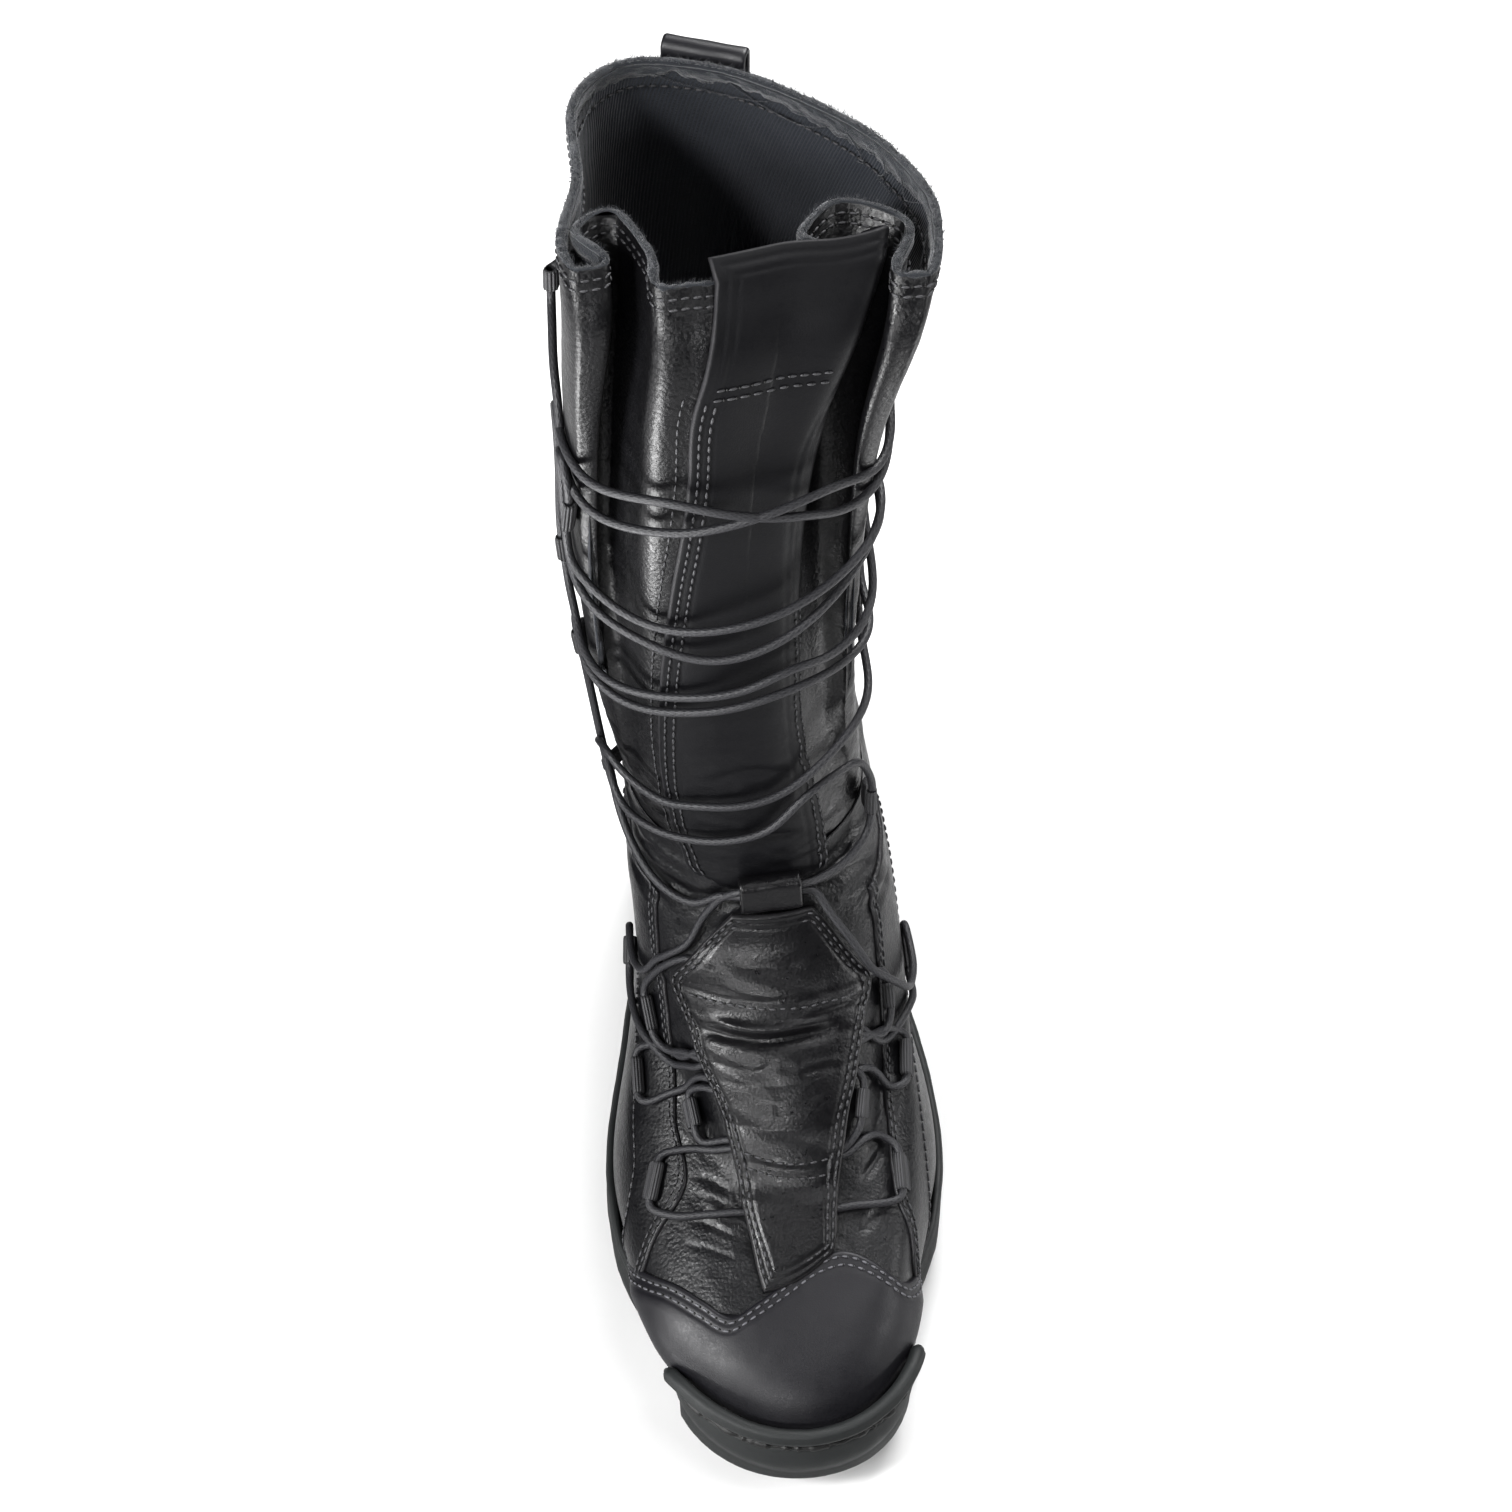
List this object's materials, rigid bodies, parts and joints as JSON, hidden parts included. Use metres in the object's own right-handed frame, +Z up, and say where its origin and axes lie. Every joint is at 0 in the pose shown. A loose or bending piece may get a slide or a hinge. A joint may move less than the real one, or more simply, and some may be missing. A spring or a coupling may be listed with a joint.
{
  "type": "motorcycle boot",
  "caption": "Tall lace-up leather motorcycle boot with a lugged cup sole, winged toe cap, kite-shaped instep flap, plain shaft placket, webbing loops and a wrapped cord lace.",
  "frame": {"origin": "centre of the bounding box at the floor", "axes": "+X to the lateral (outer) side, -Y to the toe, +Z up the shaft"},
  "size_m": [0.1206, 0.2944, 0.3756],
  "materials": {
    "grained_leather": "grained, waxed",
    "smooth_leather": "smooth, satin",
    "sole_rubber": "matt",
    "insole_board": "felted",
    "webbing": "woven",
    "cord": "braided"
  },
  "bodies": {
    "root": {"foot_loop_lateral_inner_a": "webbing", "foot_loop_lateral_inner_b": "webbing", "foot_loop_lateral_outer_1": "webbing", "foot_loop_lateral_outer_2": "webbing", "foot_loop_lateral_outer_3": "webbing", "foot_loop_medial_inner_a": "webbing", "foot_loop_medial_inner_b": "webbing", "foot_loop_medial_outer_1": "webbing", "foot_loop_medial_outer_2": "webbing", "foot_loop_medial_outer_3": "webbing", "insole": "insole_board", "instep_flap": "grained_leather", "instep_tab": "smooth_leather", "lace": "cord", "outsole": "sole_rubber", "pull_loop": "grained_leather", "shaft": "grained_leather", "shaft_loop_lateral_0": "webbing", "shaft_loop_lateral_1": "webbing", "shaft_loop_lateral_2": "webbing", "shaft_loop_lateral_3": "webbing", "shaft_loop_lateral_4": "webbing", "shaft_loop_medial_0": "webbing", "shaft_loop_medial_1": "webbing", "shaft_loop_medial_2": "webbing", "shaft_loop_medial_3": "webbing", "shaft_loop_medial_4": "webbing", "shaft_placket": "smooth_leather", "toe_bumper": "sole_rubber", "toe_cap": "smooth_leather", "upper": "grained_leather"}
  },
  "joints": []
}
